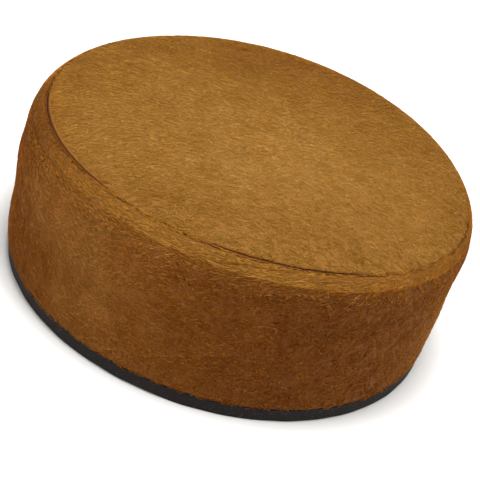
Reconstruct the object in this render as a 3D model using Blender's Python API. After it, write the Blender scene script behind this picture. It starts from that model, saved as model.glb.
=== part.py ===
"""Pillbox kufi cap of brown napped cloth, in three sewn pieces.

side_band    the upright wall, rolled over at the top to the crown's seam
crown_top    the gently domed panel that closes the top
rim_binding  the black tape folded round the wall's lower edge

Lengths are metres and +Z is up. The cap stands on its binding, with the origin in the
middle of the rim, and -Y is its front.
"""

import math
from typing import NamedTuple

import bmesh
import bpy


class Section(NamedTuple):
    """A level section of the wall: its mean radius and how far it leans off the axis."""

    radius: float
    shift_x: float
    shift_y: float


class Wave(NamedTuple):
    """How a round line departs from its circle: so many lobes, given at the rim and at the top."""

    lobes: int
    rim_cosine: float
    rim_sine: float
    top_cosine: float
    top_sine: float


# Wall: five level sections of its outer face, evenly spaced from the floor to WALL_HEIGHT
WALL_HEIGHT = 0.0594
WALL_SECTIONS = (
    Section(radius=0.0952, shift_x=0.0, shift_y=0.0),
    Section(radius=0.0964, shift_x=-0.0007, shift_y=0.0),
    Section(radius=0.0966, shift_x=-0.0004, shift_y=-0.0001),
    Section(radius=0.0972, shift_x=-0.0011, shift_y=-0.0001),
    Section(radius=0.0974, shift_x=-0.0002, shift_y=-0.0001),
)
WALL_ROWS = 8
CLOTH_THICKNESS = 0.0030

# Soft cloth is never quite round: shares of the radius in plan, and lengths for the top edge's height
PLAN_WAVES = (
    Wave(lobes=2, rim_cosine=-0.005, rim_sine=0.007, top_cosine=0.0, top_sine=0.008),
    Wave(lobes=3, rim_cosine=0.0, rim_sine=0.0, top_cosine=-0.008, top_sine=-0.009),
)
EDGE_WAVES = (
    Wave(lobes=1, rim_cosine=0.0, rim_sine=0.0, top_cosine=0.0001, top_sine=-0.0001),
    Wave(lobes=2, rim_cosine=0.0, rim_sine=0.0, top_cosine=-0.0006, top_sine=-0.0003),
)

# Shoulder: a quarter ellipse that the seam cuts off at SEAM_TURN
SHOULDER_REACH = 0.0124
SHOULDER_RISE = 0.0158
SEAM_TURN = math.radians(56)
SHOULDER_ROWS = 6
SHOULDER_SHARE = 0.92  # of that turn, before the edge dips into the seam

# Roll: the seam's turned-in edge pads the shoulder out a little, down to a soft step
ROLL_SWELL = 0.0005
ROLL_FOOT = 0.0656
ROLL_TOP = 0.0674
ROLL_ROWS = 3

# Seam: the two edges round over into it and stand SEAM_GAP apart
SEAM_GAP = 0.0003
SEAM_DEPTH = 0.0010
SEAM_ROUNDING = 0.0006
SEAM_LIP_INSET = 0.0002
SEAM_LIP_DROP = 0.0003

# Seam slide: round SLIDE_TURN the seam lies further down the shoulder, and the crown's edge with it
SLIDE = 0.0022
SLIDE_TURN = math.radians(-10)
SLIDE_WIDTH = math.radians(34)
SLIDE_SLOPE = math.radians(40.7)
SLIDE_FADE = 0.040  # how far in over the crown it dies out

# Crown: rises fast at its edge and is nearly flat in the middle
CROWN_RISE = 0.0034
CROWN_FLATNESS = 14
CROWN_RINGS = (0.98, 0.955, 0.92, 0.87, 0.80, 0.62, 0.32)
CROWN_EDGE_DEPTH = 0.0036

# Binding: a channel of tape, measured inwards from the wall's outer face
TAPE_THICKNESS = 0.0010
TAPE_LEAN = 0.0003
TAPE_CORNER = 0.0004
BINDING_HEIGHT = 0.0060
BINDING_INNER_HEIGHT = 0.0070
HEM_THICKNESS = 0.0018
HEM_CLEARANCE = 0.0003
OVERHANG_HEIGHT = 0.0013  # of the wall's rounded foot, which stands out over the tape
OVERHANG_POINTS = ((0.0006, 0.0), (0.0002, 0.0006))  # inset and rise of that foot's corners

STEPS_ROUND = 64
SHARP_EDGE_ANGLE = math.radians(38)
WELD_DISTANCE = 0.00001

WIDEST_RADIUS = WALL_SECTIONS[-1].radius
SEAM_INSET = SHOULDER_REACH * (1 - math.cos(SEAM_TURN))
SEAM_HEIGHT = WALL_HEIGHT + SHOULDER_RISE * math.sin(SEAM_TURN)
SEAM_RADIUS = WIDEST_RADIUS - SEAM_INSET
TAPE_INNER_FACE = TAPE_LEAN + TAPE_THICKNESS
HEM_OUTER = TAPE_INNER_FACE + HEM_CLEARANCE
HEM_INNER = HEM_OUTER + HEM_THICKNESS
INNER_LEG = HEM_INNER + HEM_CLEARANCE

BROWN_NAP = (0.300, 0.125, 0.030)
BROWN_BAND = (0.235, 0.092, 0.022)
BLACK_TAPE = (0.020, 0.018, 0.017)


def remove_scene_objects():
    for old in list(bpy.data.objects):
        bpy.data.objects.remove(old, do_unlink=True)


def smooth_between(before, start, end, after, share):
    """Value on the smooth curve through four even steps, share of the way from start to end."""
    slope_in = (end - before) / 2
    slope_out = (after - start) / 2
    rest = end - start
    return (
        start
        + slope_in * share
        + (3 * rest - 2 * slope_in - slope_out) * share**2
        + (slope_in + slope_out - 2 * rest) * share**3
    )


def section_at(height):
    """The wall's section at a height; above the wall it stays as it is at the wall's top."""
    last = len(WALL_SECTIONS) - 1
    place = min(max(height / WALL_HEIGHT, 0.0), 1.0) * last
    low = min(int(place), last - 1)
    near = [WALL_SECTIONS[min(max(low + offset, 0), last)] for offset in (-1, 0, 1, 2)]
    return Section(*(smooth_between(*column, place - low) for column in zip(*near)))


def wave_sum(waves, turn, share):
    """Departure from the circle at an angle, share of the way up from rim to top."""
    total = 0.0
    for wave in waves:
        cosine = wave.rim_cosine + (wave.top_cosine - wave.rim_cosine) * share
        sine = wave.rim_sine + (wave.top_sine - wave.rim_sine) * share
        total += cosine * math.cos(wave.lobes * turn) + sine * math.sin(wave.lobes * turn)
    return total


def eased(share):
    """Soft step from 0 to 1."""
    held = min(max(share, 0.0), 1.0)
    return held * held * (3 - 2 * held)


def slid(turn, reach, height):
    """Reach and height of a point of the round cap once the seam has slid down the shoulder."""
    away = (turn - SLIDE_TURN + math.pi) % math.tau - math.pi
    if reach > SEAM_RADIUS:
        near_seam = eased((WIDEST_RADIUS - reach) / SEAM_INSET)
    else:
        near_seam = eased(1 - (SEAM_RADIUS - reach) / SLIDE_FADE)
    above_wall = eased((height - WALL_HEIGHT) / (SEAM_HEIGHT - WALL_HEIGHT))
    amount = SLIDE * math.exp(-((away / SLIDE_WIDTH) ** 2)) * near_seam * above_wall
    return reach + amount * math.cos(SLIDE_SLOPE), height - amount * math.sin(SLIDE_SLOPE)


def settle(vertex):
    """Moves a point of the round cap to where the soft cloth has it."""
    x, y, z = vertex.co
    turn = math.atan2(y, x)
    slid_reach, z = slid(turn, math.hypot(x, y), z)
    reach = slid_reach / WIDEST_RADIUS
    share = min(z / WALL_HEIGHT, 1.0)
    section = section_at(z)
    radius = reach * section.radius * (1 + wave_sum(PLAN_WAVES, turn, share))
    vertex.co.x = section.shift_x + radius * math.cos(turn)
    vertex.co.y = section.shift_y + radius * math.sin(turn)
    vertex.co.z = z + reach * wave_sum(EDGE_WAVES, turn, share)


def turned_piece(name, profile, is_loop, material, parent, collection):
    """Turns a profile of (inset from the widest radius, height) round the axis into one solid."""
    shape = bmesh.new()
    points = [shape.verts.new((WIDEST_RADIUS - inset, 0.0, height)) for inset, height in profile]
    ends = points[1:] + points[:1] if is_loop else points[1:]
    edges = [shape.edges.new(pair) for pair in zip(points, ends)]
    bmesh.ops.spin(
        shape,
        geom=points + edges,
        cent=(0.0, 0.0, 0.0),
        axis=(0.0, 0.0, 1.0),
        angle=math.tau,
        steps=STEPS_ROUND,
        use_merge=True,
    )
    bmesh.ops.remove_doubles(shape, verts=shape.verts, dist=WELD_DISTANCE)
    bmesh.ops.recalc_face_normals(shape, faces=shape.faces)
    for vertex in shape.verts:
        settle(vertex)
    mesh = bpy.data.meshes.new(name)
    shape.to_mesh(mesh)
    shape.free()
    mesh.shade_smooth()
    mesh.set_sharp_from_angle(angle=SHARP_EDGE_ANGLE)
    mesh.materials.append(material)
    piece = bpy.data.objects.new(name, mesh)
    piece.parent = parent
    collection.objects.link(piece)
    return piece


def roll_swell(height):
    """How far the padded shoulder stands out at a height: none below the step, all above it."""
    share = min(max((height - ROLL_FOOT) / (ROLL_TOP - ROLL_FOOT), 0.0), 1.0)
    return ROLL_SWELL * share * share * (3 - 2 * share)


def shoulder_turn(height):
    """Angle on the shoulder's arc where its outer face is at a height."""
    return math.asin((height - WALL_HEIGHT) / SHOULDER_RISE)


def shoulder_points(first_turn, last_turn, depth, rows):
    """Points of the shoulder's arc, depth below its outer face, rising from the wall."""
    turns = [first_turn + (last_turn - first_turn) * row / rows for row in range(rows + 1)]
    reach = SHOULDER_REACH - depth
    rise = SHOULDER_RISE - depth
    return [
        (depth + reach * (1 - math.cos(turn)), WALL_HEIGHT + rise * math.sin(turn)) for turn in turns
    ]


def padded_shoulder_points():
    """Points of the shoulder's outer face, close together at the roll's step."""
    stops = (0.0, shoulder_turn(ROLL_FOOT), shoulder_turn(ROLL_TOP), SEAM_TURN * SHOULDER_SHARE)
    arc = [(0.0, WALL_HEIGHT)]
    for first_turn, last_turn in zip(stops, stops[1:]):
        arc += shoulder_points(first_turn, last_turn, 0.0, ROLL_ROWS)[1:]
    return [(inset - roll_swell(height), height) for inset, height in arc]


def side_band_profile():
    """Closed loop: hem, overhang, wall, shoulder and seam edge, then back down the inside."""
    overhang_foot = BINDING_HEIGHT + HEM_CLEARANCE
    wall_foot = overhang_foot + OVERHANG_HEIGHT
    seam_face = SEAM_INSET - SEAM_GAP / 2
    heights = [wall_foot + (WALL_HEIGHT - wall_foot) * row / WALL_ROWS for row in range(WALL_ROWS)]
    hem_foot = TAPE_THICKNESS + HEM_CLEARANCE
    outside = [
        (HEM_OUTER, hem_foot),
        (HEM_OUTER, overhang_foot),
    ]
    outside += [(inset, overhang_foot + rise) for inset, rise in OVERHANG_POINTS]
    outside += [(0.0, height) for height in heights]
    outside += padded_shoulder_points()
    outside += [
        (seam_face - SEAM_LIP_INSET, SEAM_HEIGHT - SEAM_LIP_DROP),
        (seam_face, SEAM_HEIGHT - SEAM_DEPTH),
    ]
    inner_reach = SHOULDER_REACH - CLOTH_THICKNESS
    inner_turn = math.acos(1 - (seam_face - CLOTH_THICKNESS) / inner_reach)
    inside = shoulder_points(inner_turn, 0.0, CLOTH_THICKNESS, SHOULDER_ROWS)
    inside += [(CLOTH_THICKNESS, height) for height in reversed(heights[1::2])]
    inside += [
        (CLOTH_THICKNESS, BINDING_INNER_HEIGHT + OVERHANG_HEIGHT),
        (HEM_INNER, BINDING_INNER_HEIGHT),
        (HEM_INNER, hem_foot),
    ]
    return outside + inside


def crown_height(reach):
    """Height of the crown's outer face at a share of its radius from the middle."""
    return SEAM_HEIGHT + CROWN_RISE * (1 - reach**CROWN_FLATNESS)


def crown_top_profile():
    """Line from the middle out over the crown's face, down its edge and back underneath."""
    seam_face = SEAM_INSET + SEAM_GAP / 2
    crown_radius = WIDEST_RADIUS - seam_face
    edge_foot = SEAM_HEIGHT - CROWN_EDGE_DEPTH
    face = [
        (WIDEST_RADIUS - crown_radius * reach, crown_height(reach))
        for reach in (0.0, *reversed(CROWN_RINGS))
    ]
    edge = [
        (seam_face + SEAM_ROUNDING, SEAM_HEIGHT),
        (seam_face + SEAM_LIP_INSET, SEAM_HEIGHT - SEAM_LIP_DROP),
        (seam_face, SEAM_HEIGHT - SEAM_DEPTH),
        (seam_face, edge_foot),
    ]
    underside = [
        (WIDEST_RADIUS - crown_radius * reach, crown_height(reach) - CLOTH_THICKNESS)
        for reach in (*CROWN_RINGS[::2], 0.0)
    ]
    return face + edge + underside


def rim_binding_profile():
    """Closed loop of the folded tape: outer leg, flat foot and inner leg round the hem."""
    inner_face = INNER_LEG + TAPE_THICKNESS
    return [
        (TAPE_CORNER, 0.0),
        (0.0, TAPE_CORNER),
        (TAPE_LEAN, BINDING_HEIGHT - TAPE_CORNER),
        (TAPE_LEAN + TAPE_CORNER, BINDING_HEIGHT),
        (TAPE_INNER_FACE, BINDING_HEIGHT),
        (TAPE_INNER_FACE, TAPE_THICKNESS),
        (INNER_LEG, TAPE_THICKNESS),
        (INNER_LEG, BINDING_INNER_HEIGHT - TAPE_CORNER),
        (INNER_LEG + TAPE_CORNER, BINDING_INNER_HEIGHT),
        (inner_face - TAPE_CORNER, BINDING_INNER_HEIGHT),
        (inner_face, BINDING_INNER_HEIGHT - TAPE_CORNER),
        (inner_face, TAPE_CORNER),
        (inner_face - TAPE_CORNER, 0.0),
    ]


def cloth(name, colour, roughness):
    """A matt cloth in one colour."""
    material = bpy.data.materials.new(name)
    material.use_nodes = True
    shader = material.node_tree.nodes["Principled BSDF"]
    shader.inputs["Base Color"].default_value = (*colour, 1.0)
    shader.inputs["Roughness"].default_value = roughness
    shader.inputs["Metallic"].default_value = 0.0
    return material


def build_cap():
    collection = bpy.data.collections.new("kufi_cap")
    bpy.context.scene.collection.children.link(collection)
    cap = bpy.data.objects.new("kufi_cap", None)
    collection.objects.link(cap)
    pieces = (
        ("side_band", side_band_profile(), True, cloth("napped_wool_band", BROWN_BAND, 0.9)),
        ("crown_top", crown_top_profile(), False, cloth("napped_wool_crown", BROWN_NAP, 0.9)),
        ("rim_binding", rim_binding_profile(), True, cloth("black_binding_tape", BLACK_TAPE, 0.85)),
    )
    for name, profile, is_loop, material in pieces:
        turned_piece(name, profile, is_loop, material, cap, collection)


remove_scene_objects()
build_cap()
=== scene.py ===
"""A pillbox kufi cap in brown wool pile cloth with a black cotton binding.

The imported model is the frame. The cloth crown, the cloth band and the folded binding are modelled
again here as finer shells over the same form, and the pile of the cloth is combed over them as
joined hairs. The cap stands upright on a pale floor.
"""

import logging
import math
from dataclasses import dataclass
from enum import Enum
from typing import Any, NamedTuple

import bmesh
import bpy
import numpy as np
from mathutils import Matrix, Vector


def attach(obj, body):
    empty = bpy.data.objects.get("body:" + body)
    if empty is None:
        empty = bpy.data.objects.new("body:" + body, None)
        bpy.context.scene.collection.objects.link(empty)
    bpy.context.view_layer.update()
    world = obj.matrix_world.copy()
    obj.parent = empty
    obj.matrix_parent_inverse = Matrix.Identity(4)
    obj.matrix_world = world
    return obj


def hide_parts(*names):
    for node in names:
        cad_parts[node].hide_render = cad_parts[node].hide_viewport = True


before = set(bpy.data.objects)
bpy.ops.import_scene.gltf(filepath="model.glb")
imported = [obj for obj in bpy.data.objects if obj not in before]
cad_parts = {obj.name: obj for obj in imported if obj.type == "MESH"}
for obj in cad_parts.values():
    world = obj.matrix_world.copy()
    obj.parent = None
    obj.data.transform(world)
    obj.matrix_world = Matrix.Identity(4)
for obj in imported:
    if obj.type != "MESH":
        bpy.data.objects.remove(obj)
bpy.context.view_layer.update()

MM = 0.001
BODY = "root"
PICTURE_WIDTH = 480
# The least step and normal keep a division from being by 0; a hair keeps the least share of its step.
LEAST_STEP = 1e-9
LEAST_NORMAL = 1e-12
LEAST_ROOM = 0.05
Array = np.ndarray
Line = list[tuple[float, float]]
Piece = bpy.types.Object
Tree = bpy.types.NodeTree
Node = bpy.types.Node
Socket = bpy.types.NodeSocket
Material = bpy.types.Material
Values = dict[str | int, Any]
Links = dict[str | int, Socket]
log = logging.getLogger("kufi_cap")


class Side(Enum):
    """Which face of a shell a finish goes on; the value is the material slot's index."""

    NAPPED = 0
    BACKING = 1


class CapPoints(NamedTuple):
    """Points of the round cap before it is softened: angle in radians, distance from the axis, height."""

    turn: Array
    reach: Array
    height: Array


class Flat(NamedTuple):
    """Places on a face of the cloth laid out flat, in metres."""

    across: Array
    along: Array


class Section(NamedTuple):
    """A level section of the wall: mean radius and lean off the axis, in metres."""

    radius: float
    shift_x: float
    shift_y: float


class Wave(NamedTuple):
    """How a round line departs from its circle, at the rim and at the top."""

    lobes: int
    rim_cosine: float
    rim_sine: float
    top_cosine: float
    top_sine: float


class Ripple(NamedTuple):
    """A shallow unevenness of the cloth: lobes round the cap, turns up the wall, depth, start."""

    lobes: int
    rises: float
    depth: float
    start: float


class Swirl(NamedTuple):
    """One wave in how the pile's lay wanders: how fast it turns across and along, its start, its size."""

    across: float
    along: float
    start: float = 0.0
    size: float = 1.0


class LayRow(NamedTuple):
    """How the band's pile lies at one turn: its heading above the level. Both in degrees."""

    turn: float
    heading: float


class RollRow(NamedTuple):
    """The padded roll at one turn in degrees: its lit gold share and how much lighter, as painted light and
    shade.
    """

    turn: float
    lit_golden: float
    tone: float


class SeamRow(NamedTuple):
    """How the crown's seam shows at one turn in degrees: 0 combed over, 1 an open line, more a wide one."""

    turn: float
    openness: float


class LiftRow(NamedTuple):
    """How far the binding's lower edge is drawn up at one turn in degrees."""

    turn: float
    lift: float


class Crease(NamedTuple):
    """A parting in the pile between two flat places, painted as a line of shade: half width and how much
    darker.
    """

    first: tuple[float, float]
    last: tuple[float, float]
    width: float
    tone: float


class ShadeSpot(NamedTuple):
    """A patch of the pile's own tone and of painted light and shade: place and size in mm, how much lighter.
    """

    across: float
    along: float
    width: float
    depth: float
    tone: float


def spot_sum(spots: tuple[ShadeSpot, ...], flat: Flat) -> Array:
    """Adds up soft round patches.

    Args:
        spots: The patches.
        flat: Places on the cloth.

    Returns:
        The tone that the patches add at each place.
    """
    total = np.zeros_like(flat.across)
    for spot in spots:
        away = ((flat.across - spot.across * MM) / (spot.width * MM)) ** 2
        away += ((flat.along - spot.along * MM) / (spot.depth * MM)) ** 2
        total += spot.tone * np.exp(-away)
    return total


def crease_shade_sum(shaded_partings: tuple[Crease, ...], flat: Flat) -> Array:
    """Adds up the painted shade of fine partings.

    Args:
        shaded_partings: The partings.
        flat: Places on the cloth.

    Returns:
        The tone that the partings add at each place.
    """
    total = np.zeros_like(flat.across)
    for crease in shaded_partings:
        way = np.subtract(crease.last, crease.first)
        across, along = flat.across - crease.first[0], flat.along - crease.first[1]
        held = np.clip((across * way[0] + along * way[1]) / (way @ way), 0.0, 1.0)
        off = (across - held * way[0]) ** 2 + (along - held * way[1]) ** 2
        total += crease.tone * np.exp(-off / crease.width**2)
    return total


def wander(waves: tuple[Swirl, ...], across: Array, along: Array) -> Array:
    """Multiplies waves in pairs and adds up the products, for a lay that wanders like real pile.

    Args:
        waves: An even number of waves.
        across: Places across the cloth, in the waves' own unit.
        along: Places along it, in that unit.

    Returns:
        A smooth value at each place, from about -2 to 2.
    """
    sines = [wave.size * np.sin(wave.across * across + wave.along * along + wave.start) for wave in waves]
    return sum(first * second for first, second in zip(sines[::2], sines[1::2]))


def ripple_sum(ripples: tuple[Ripple, ...], turn: Array, share: Array) -> Array:
    """Adds up ripples at angles round the cap and shares of a height."""
    phases = (ripple.lobes * turn + ripple.rises * math.tau * share + ripple.start for ripple in ripples)
    return sum(ripple.depth * np.sin(phase) for ripple, phase in zip(ripples, phases))


def wrapped(turn: Array) -> Array:
    """Angles brought to within half a turn of 0."""
    return (turn + math.pi) % math.tau - math.pi


def read_rows(rows: tuple[NamedTuple, ...], turn: Array) -> list[Array]:
    """Reads a table between its rows.

    Args:
        rows: The rows, each with its turn in degrees first.
        turn: Angles round the cap, in radians.

    Returns:
        The other columns at those angles.
    """
    columns = np.array(rows).T
    return [np.interp(np.degrees(wrapped(turn)), columns[0], column) for column in columns[1:]]


def eased(share: Array) -> Array:
    """Soft step from 0 to 1."""
    held = np.clip(share, 0.0, 1.0)
    return held * held * (3 - 2 * held)


def unit(vectors: Array) -> Array:
    """Vectors, one a row, brought to a length of 1."""
    return vectors / (np.linalg.norm(vectors, axis=1, keepdims=True) + LEAST_NORMAL)


def linear(hex_colour: str) -> tuple[float, float, float, float]:
    """Turns an sRGB colour to the linear one that shaders take.

    Args:
        hex_colour: Six hex digits, with or without a leading #.

    Returns:
        Linear red, green, blue and an alpha of 1.
    """
    digits = hex_colour.lstrip("#")
    parts = [int(digits[place : place + 2], 16) / 255 for place in (0, 2, 4)]
    lit = [part / 12.92 if part <= 0.04045 else ((part + 0.055) / 1.055) ** 2.4 for part in parts]
    return (*lit, 1.0)


def set_inputs(node: Node, values: Values | None = None, links: Links | None = None) -> None:
    """Gives a node its input values and links.

    Args:
        node: The node.
        values: Plain values, by socket name or number.
        links: Output sockets that feed its inputs, by socket name or number.
    """
    for key, value in (values or {}).items():
        node.inputs[key].default_value = value
    for key, socket in (links or {}).items():
        node.id_data.links.new(socket, node.inputs[key])


def add_node(
    tree: Tree,
    kind: str,
    settings: Values | None = None,
    values: Values | None = None,
    links: Links | None = None,
    stops: tuple[tuple[float, str], ...] = (),
) -> Node:
    """Adds a shader node with its settings, input values and input links.

    Args:
        tree: The material's node tree.
        kind: The node's type name, without the ShaderNode prefix.
        settings: Properties of the node, by name.
        values: Plain values for its inputs, by socket name or number.
        links: Output sockets that feed its inputs, by socket name or number.
        stops: For a colour ramp, places from 0 to 1, each with its sRGB hex colour.

    Returns:
        The new node.
    """
    node = tree.nodes.new(f"ShaderNode{kind}")
    for name, value in (settings or {}).items():
        setattr(node, name, value)
    while stops and len(node.color_ramp.elements) < len(stops):
        node.color_ramp.elements.new(1.0)
    for place, (share, colour) in enumerate(stops):
        node.color_ramp.elements[place].position = share
        node.color_ramp.elements[place].color = linear(colour)
    set_inputs(node, values, links)
    return node


def new_material(name: str) -> tuple[Material, Tree, Node]:
    """Makes a node material.

    Args:
        name: The material's name.

    Returns:
        The material, its node tree and its Principled shader, linked to the output.
    """
    material = bpy.data.materials.new(name)
    material.use_nodes = True
    return material, material.node_tree, material.node_tree.nodes["Principled BSDF"]


def mesh_object(name: str, mesh: bpy.types.Mesh) -> Piece:
    """Links a mesh, already in place, to the scene as an object that sits at the origin."""
    piece = bpy.data.objects.new(name, mesh)
    bpy.context.scene.collection.objects.link(piece)
    return piece


def add_shades(mesh: bpy.types.Mesh, shades: dict[str, Array]) -> None:
    """Keeps one value a point for each named shade, for the finish to read."""
    for name, values in shades.items():
        shade = mesh.attributes.new(name, "FLOAT", "POINT")
        shade.data.foreach_set("value", values.astype(np.float32))


@dataclass(frozen=True)
class CapForm:
    """The soft round form that every piece lies on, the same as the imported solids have."""

    wall_height: float = 59.4 * MM
    wall_foot: float = 7.6 * MM
    cloth_thickness: float = 3.0 * MM
    sections: tuple[Section, ...] = (
        Section(radius=95.2 * MM, shift_x=0.0, shift_y=0.0),
        Section(radius=96.4 * MM, shift_x=-0.7 * MM, shift_y=0.0),
        Section(radius=96.6 * MM, shift_x=-0.4 * MM, shift_y=-0.1 * MM),
        Section(radius=97.2 * MM, shift_x=-1.1 * MM, shift_y=-0.1 * MM),
        Section(radius=97.4 * MM, shift_x=-0.2 * MM, shift_y=-0.1 * MM),
    )
    plan_waves: tuple[Wave, ...] = (
        Wave(lobes=2, rim_cosine=-0.005, rim_sine=0.007, top_cosine=0.0, top_sine=0.008),
        Wave(lobes=3, rim_cosine=0.0, rim_sine=0.0, top_cosine=-0.008, top_sine=-0.009),
    )
    edge_waves: tuple[Wave, ...] = (
        Wave(lobes=1, rim_cosine=0.0, rim_sine=0.0, top_cosine=0.1 * MM, top_sine=-0.1 * MM),
        Wave(lobes=2, rim_cosine=0.0, rim_sine=0.0, top_cosine=-0.6 * MM, top_sine=-0.3 * MM),
    )
    ripples: tuple[Ripple, ...] = (
        Ripple(lobes=5, rises=0.7, depth=0.16 * MM, start=0.4),
        Ripple(lobes=9, rises=1.6, depth=0.10 * MM, start=2.1),
        Ripple(lobes=14, rises=-2.3, depth=0.07 * MM, start=4.0),
    )
    shoulder_reach: float = 12.4 * MM
    shoulder_rise: float = 15.8 * MM
    shoulder_rows: int = 60
    seam_turn: float = math.radians(56)
    seam_gap: float = 0.05 * MM
    seam_depth: float = 1.0 * MM
    seam_mouth: float = 0.6 * MM
    lip_inset: float = 0.3 * MM
    lip_drop: float = 0.45 * MM
    lip: float = 0.1 * MM
    slide: float = 2.2 * MM
    slide_turn: float = math.radians(-10)
    slide_width: float = math.radians(34)
    slide_slope: float = math.radians(40.7)
    slide_fade: float = 40.0 * MM
    roll_swell: float = 0.5 * MM
    roll_foot: float = 65.6 * MM
    roll_top: float = 67.4 * MM
    crown_rise: float = 3.4 * MM
    crown_flatness: int = 14
    crown_rings: int = 200
    seam_rows: tuple[SeamRow, ...] = (
        SeamRow(-180, 0.0),
        SeamRow(-171, 0.2),
        SeamRow(-167, 1.0),
        SeamRow(-130, 1.0),
        SeamRow(-124, 0.3),
        SeamRow(-112, 0.05),
        SeamRow(-100, 0.2),
        SeamRow(-92, 0.95),
        SeamRow(-86, 1.5),
        SeamRow(-74, 1.5),
        SeamRow(-60, 1.1),
        SeamRow(-52, 0.35),
        SeamRow(-45, 0.3),
        SeamRow(-38, 0.55),
        SeamRow(-8, 0.5),
        SeamRow(10, 0.25),
        SeamRow(30, 0.1),
        SeamRow(180, 0.0),
    )

    @property
    def widest(self) -> float:
        """Mean radius at the top of the wall."""
        return self.sections[-1].radius

    @property
    def seam_inset(self) -> float:
        """How far the seam lies in from the widest radius."""
        return self.shoulder_reach * (1 - math.cos(self.seam_turn))

    @property
    def seam_height(self) -> float:
        """Height of the seam over the floor."""
        return self.wall_height + self.shoulder_rise * math.sin(self.seam_turn)

    @property
    def crown_radius(self) -> float:
        """Radius of the seam on the round cap."""
        return self.widest - self.seam_inset

    def openness(self, turn: Array) -> Array:
        """How far the seam shows at each angle round the cap."""
        return read_rows(self.seam_rows, turn)[0]

    def on_roll(self, height: Array) -> Array:
        """How far up the soft step to the padded roll each height is, from 0 to 1."""
        return eased((height - self.roll_foot) / (self.roll_top - self.roll_foot))

    def dark_seam_and_shade(self, points: CapPoints) -> Array:
        """Share of the seam's colour, 1 in the open seam fading to 0 beside it: its dark edge with painted
        shade.
        """
        aside = abs(points.reach - self.crown_radius) / self.seam_mouth
        inside = (aside < 1) & (self.seam_height - points.height > self.lip)
        return np.where(inside, 1.0, eased(1 - aside)) * np.clip(self.openness(points.turn), 0.0, 1.0)

    def slid(self, points: CapPoints) -> CapPoints:
        """Slides the seam a little down the shoulder on one side, and the crown's edge with it.

        Args:
            points: Points of the round cap.

        Returns:
            The points after the slide.
        """
        turn, reach, height = points
        near_seam = np.where(
            reach > self.crown_radius,
            eased((self.widest - reach) / self.seam_inset),
            eased(1 - (self.crown_radius - reach) / self.slide_fade),
        )
        above_wall = eased((height - self.wall_height) / (self.seam_height - self.wall_height))
        away = wrapped(turn - self.slide_turn) / self.slide_width
        amount = self.slide * np.exp(-(away**2)) * near_seam * above_wall
        slope = self.slide_slope
        return CapPoints(turn, reach + amount * math.cos(slope), height - amount * math.sin(slope))

    @staticmethod
    def _along_sections(column: Array, place: Array) -> Array:
        """Reads one column of the section table on a smooth curve.

        Args:
            column: One value for each section.
            place: Places up the table, in sections.

        Returns:
            The column's value at each place.
        """
        last = len(column) - 1
        low = np.minimum(place.astype(int), last - 1)
        share = place - low
        before, start, end, after = (column[np.clip(low + step, 0, last)] for step in (-1, 0, 1, 2))
        slope_in = (end - before) / 2
        slope_out = (after - start) / 2
        cubic = slope_in + slope_out - 2 * (end - start)
        square = 3 * (end - start) - 2 * slope_in - slope_out
        return start + slope_in * share + square * share**2 + cubic * share**3

    @staticmethod
    def _wave_sum(waves: tuple[Wave, ...], turn: Array, share: Array) -> Array:
        """Adds up waves round the cap.

        Args:
            waves: The waves to add.
            turn: Angles round the cap, in radians.
            share: How far up from rim to top each point is.

        Returns:
            The departure from the circle at each point.
        """
        total = np.zeros_like(turn)
        for wave in waves:
            cosine = wave.rim_cosine + (wave.top_cosine - wave.rim_cosine) * share
            sine = wave.rim_sine + (wave.top_sine - wave.rim_sine) * share
            total += cosine * np.cos(wave.lobes * turn) + sine * np.sin(wave.lobes * turn)
        return total

    def place(self, points: CapPoints) -> Array:
        """Puts points of the round cap where the soft cloth has them.

        Args:
            points: Points of the round cap.

        Returns:
            World points, one row each.
        """
        turn, reach, height = self.slid(points)
        share = np.clip(height / self.wall_height, 0.0, 1.0)
        place = share * (len(self.sections) - 1)
        columns = np.array(self.sections).T
        mean, shift_x, shift_y = (self._along_sections(column, place) for column in columns)
        outer = reach / self.widest
        depth = ripple_sum(self.ripples, turn, share) * np.sin(math.pi * share)
        radius = outer * (mean * (1 + self._wave_sum(self.plan_waves, turn, share)) + depth)
        lift = outer * self._wave_sum(self.edge_waves, turn, share)
        return np.stack(
            [shift_x + radius * np.cos(turn), shift_y + radius * np.sin(turn), height + lift], axis=-1
        )

    def crown_height(self, share: Array | float) -> Array | float:
        """Height of the crown's face at a share of its radius."""
        return self.seam_height + self.crown_rise * (1 - share**self.crown_flatness)

    def shoulder(self, first: float, last: float, depth: float, rows: int) -> Line:
        """Draws the shoulder's arc, with the padded roll on its outer face.

        Args:
            first: Angle on the arc where the points start, in radians.
            last: Angle where they end.
            depth: How far below the outer face they lie.
            rows: How many steps lie between them.

        Returns:
            Pairs of inset from the widest radius and height.
        """
        turns = np.linspace(first, last, rows + 1)
        reach, rise = self.shoulder_reach - depth, self.shoulder_rise - depth
        heights = self.wall_height + rise * np.sin(turns)
        swell = np.zeros(rows + 1) if depth else self.roll_swell * self.on_roll(heights)
        insets = depth + reach * (1 - np.cos(turns)) - swell
        return list(zip(insets.tolist(), heights.tolist()))

    def upper_line(self) -> tuple[Array, Array]:
        """Draws the cap's top from the middle of the crown out to the foot of the shoulder.

        Returns:
            Rising distances from the axis on the round cap, and the height at each.
        """
        shares = np.linspace(0.0, 1.0, self.crown_rings)
        shoulder = np.array(self.shoulder(self.seam_turn, 0.0, 0.0, self.shoulder_rows))[1:]
        reaches = np.concatenate([self.crown_radius * shares, self.widest - shoulder[:, 0]])
        heights = np.concatenate([self.crown_height(shares), shoulder[:, 1]])
        return np.maximum.accumulate(reaches), heights


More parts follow.
